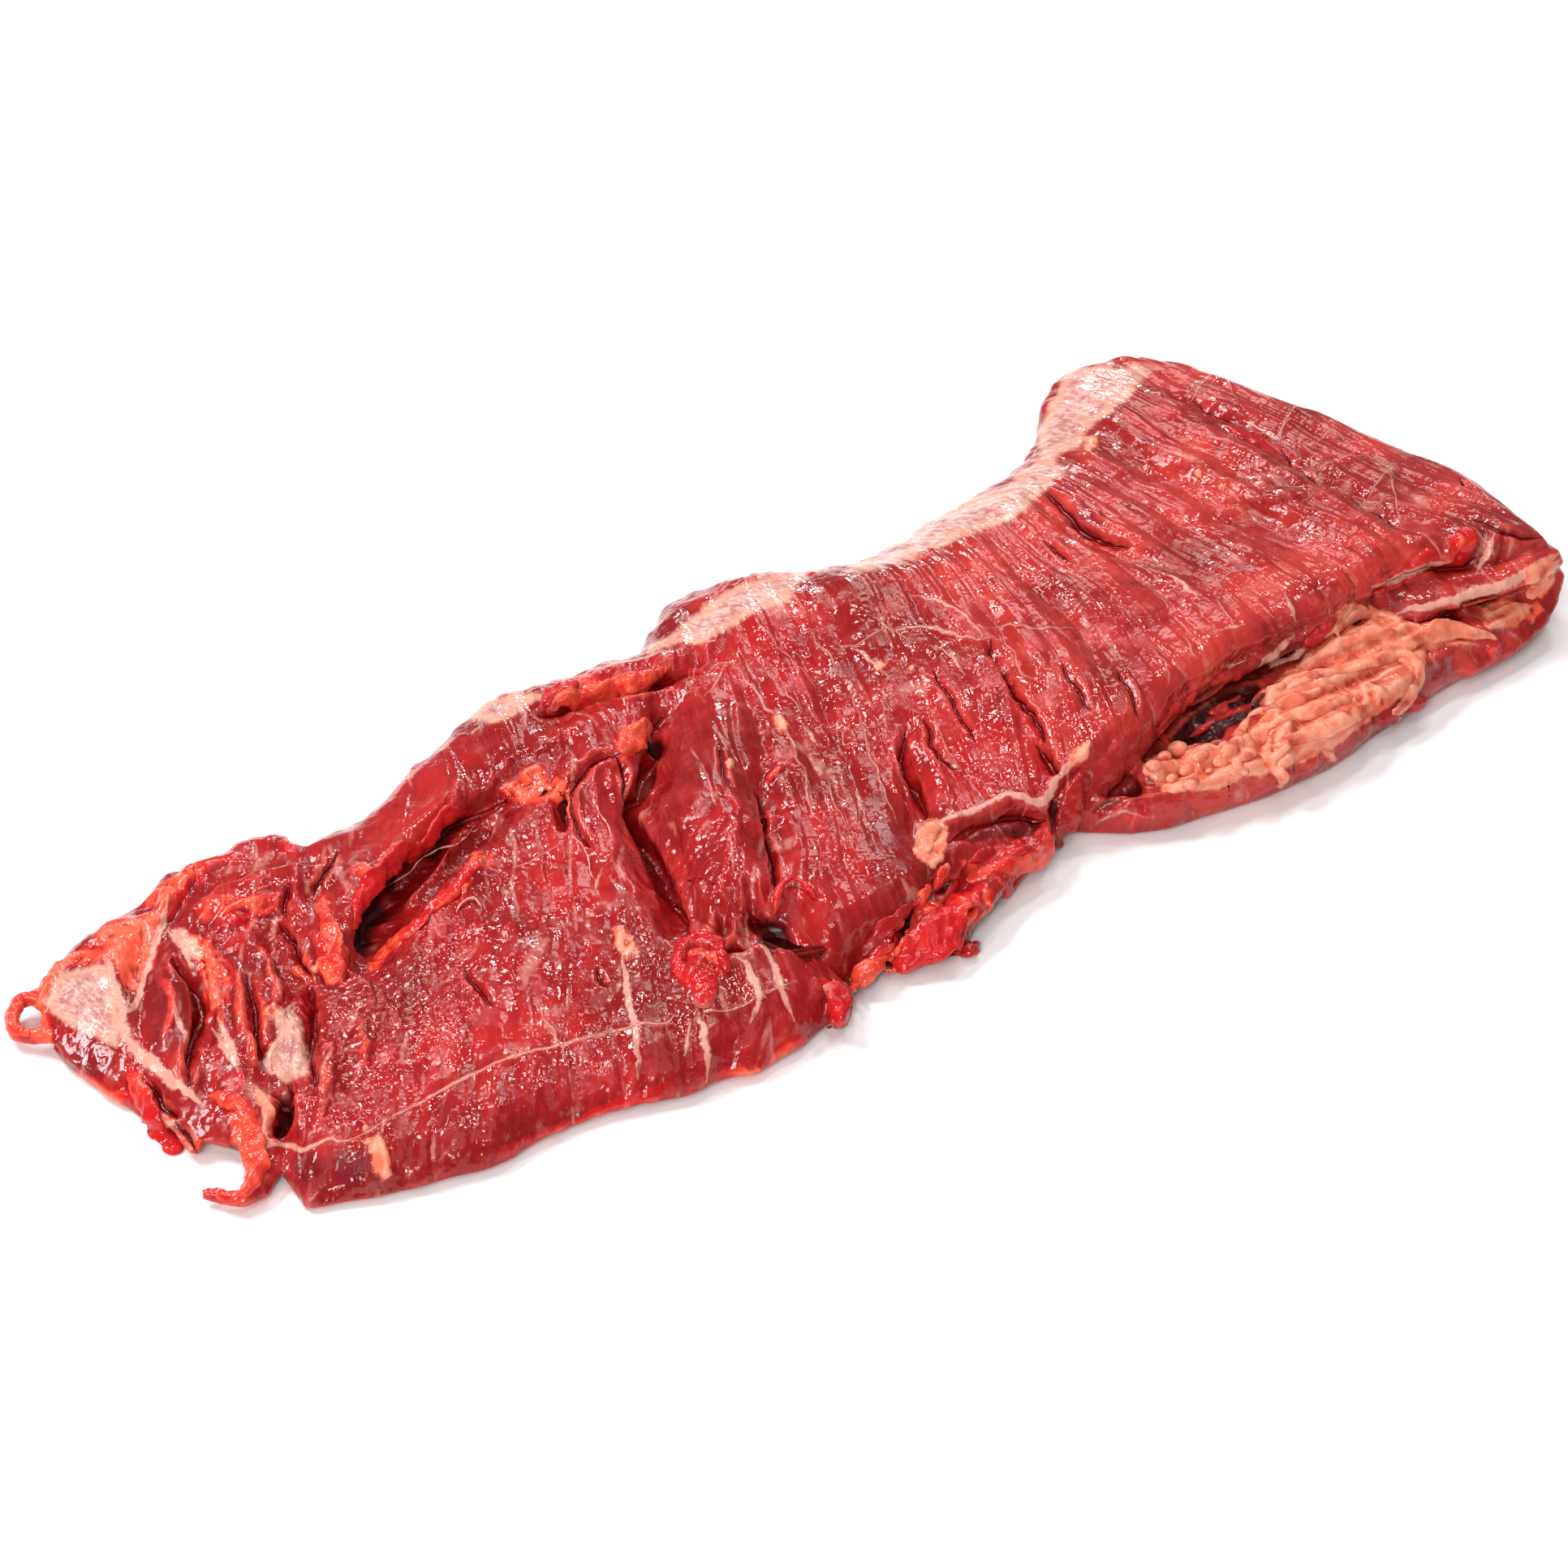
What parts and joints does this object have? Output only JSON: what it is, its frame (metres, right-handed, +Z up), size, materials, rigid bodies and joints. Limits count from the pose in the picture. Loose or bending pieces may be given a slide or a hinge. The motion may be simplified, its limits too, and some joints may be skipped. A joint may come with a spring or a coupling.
{
  "type": "beef flank steak",
  "caption": "Raw beef steak strip with coarse cross grain, torn thin tip, ragged edges and its wide end folded under over a pad of fat.",
  "frame": {"origin": "middle of the footprint, on the table", "axes": "+X along the steak from its torn tip to the fold, +Y towards the far long edge, +Z up"},
  "size_m": [0.4075, 0.1635, 0.0322],
  "materials": {
    "raw_beef": "moist"
  },
  "bodies": {
    "root": {"steak": "raw_beef"}
  },
  "joints": []
}
